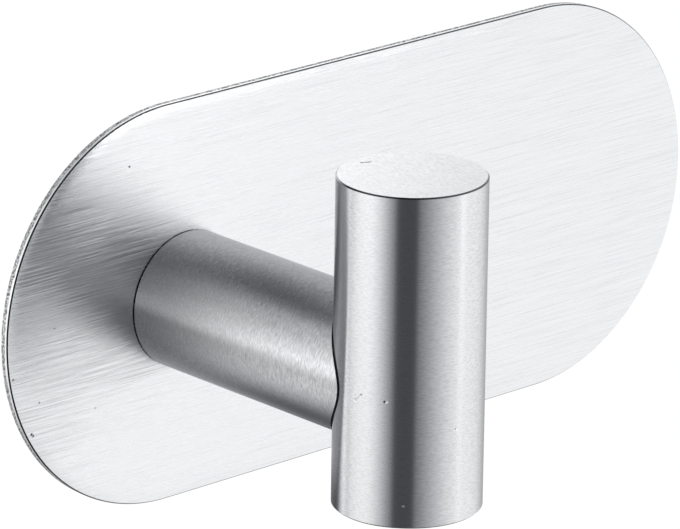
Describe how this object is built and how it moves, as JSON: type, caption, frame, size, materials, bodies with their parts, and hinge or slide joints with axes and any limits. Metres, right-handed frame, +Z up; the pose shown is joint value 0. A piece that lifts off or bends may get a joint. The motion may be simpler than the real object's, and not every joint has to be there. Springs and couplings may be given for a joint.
{
  "type": "adhesive wall hook",
  "caption": "Wall hook of brushed stainless steel: a flat round-ended plate on a foam tape pad, with a round post that carries an upright round peg.",
  "frame": {"origin": "on the wall, behind the middle of the back plate, in the adhesive face of the foam tape pad", "axes": "+Y into the wall, so the hook stands out towards -Y; +Z up, as the hook hangs; +X along the plate, away from the end that carries the post"},
  "size_m": [0.09, 0.04, 0.0402],
  "materials": {
    "plate_steel": "brushed along the plate, grit 320 line finish",
    "bar_steel": "brushed round the bar on a lathe",
    "screw_steel": "plain machined stainless steel",
    "foam_tape": "matt acrylic foam with a tacky face"
  },
  "bodies": {
    "root": {"back_plate": "plate_steel", "post": "bar_steel", "peg": "bar_steel", "clamp_screw": "screw_steel", "adhesive_pad": "foam_tape"}
  },
  "joints": []
}
